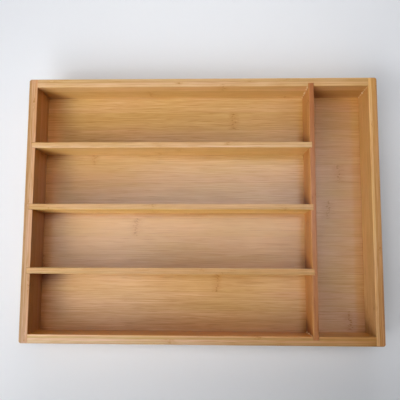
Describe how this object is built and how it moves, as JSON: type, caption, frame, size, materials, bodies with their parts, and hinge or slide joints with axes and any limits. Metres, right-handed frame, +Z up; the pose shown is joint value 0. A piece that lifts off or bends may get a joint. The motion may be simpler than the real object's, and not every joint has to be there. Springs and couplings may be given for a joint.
{
  "type": "cutlery tray",
  "caption": "Shallow open bamboo tray with a raised floor, short cross dividers on the left and one full-depth compartment on the right, for sorting cutlery in a drawer.",
  "frame": {"origin": "middle of the tray's footprint, on the surface that it stands on", "axes": "+X to the right along the short dividers, towards the full-depth compartment; +Y to the back along the long divider; +Z up out of the open compartments"},
  "size_m": [0.36, 0.27, 0.05],
  "materials": {
    "bamboo_walls": "laminated bamboo strips, eased edges, satin clear lacquer",
    "bamboo_floor": "laminated bamboo panel with fine grain left to right, satin clear lacquer",
    "bamboo_dividers": "thin bamboo boards, grain along their length, satin clear lacquer",
    "dowel_wood": "plain unfinished pegs, hidden in the corners"
  },
  "bodies": {
    "root": {"left_wall": "bamboo_walls", "right_wall": "bamboo_walls", "back_wall": "bamboo_walls", "front_wall": "bamboo_walls", "floor_panel": "bamboo_floor", "long_divider": "bamboo_dividers", "short_divider_back": "bamboo_dividers", "short_divider_middle": "bamboo_dividers", "short_divider_front": "bamboo_dividers", "corner_dowels": "dowel_wood"}
  },
  "joints": []
}
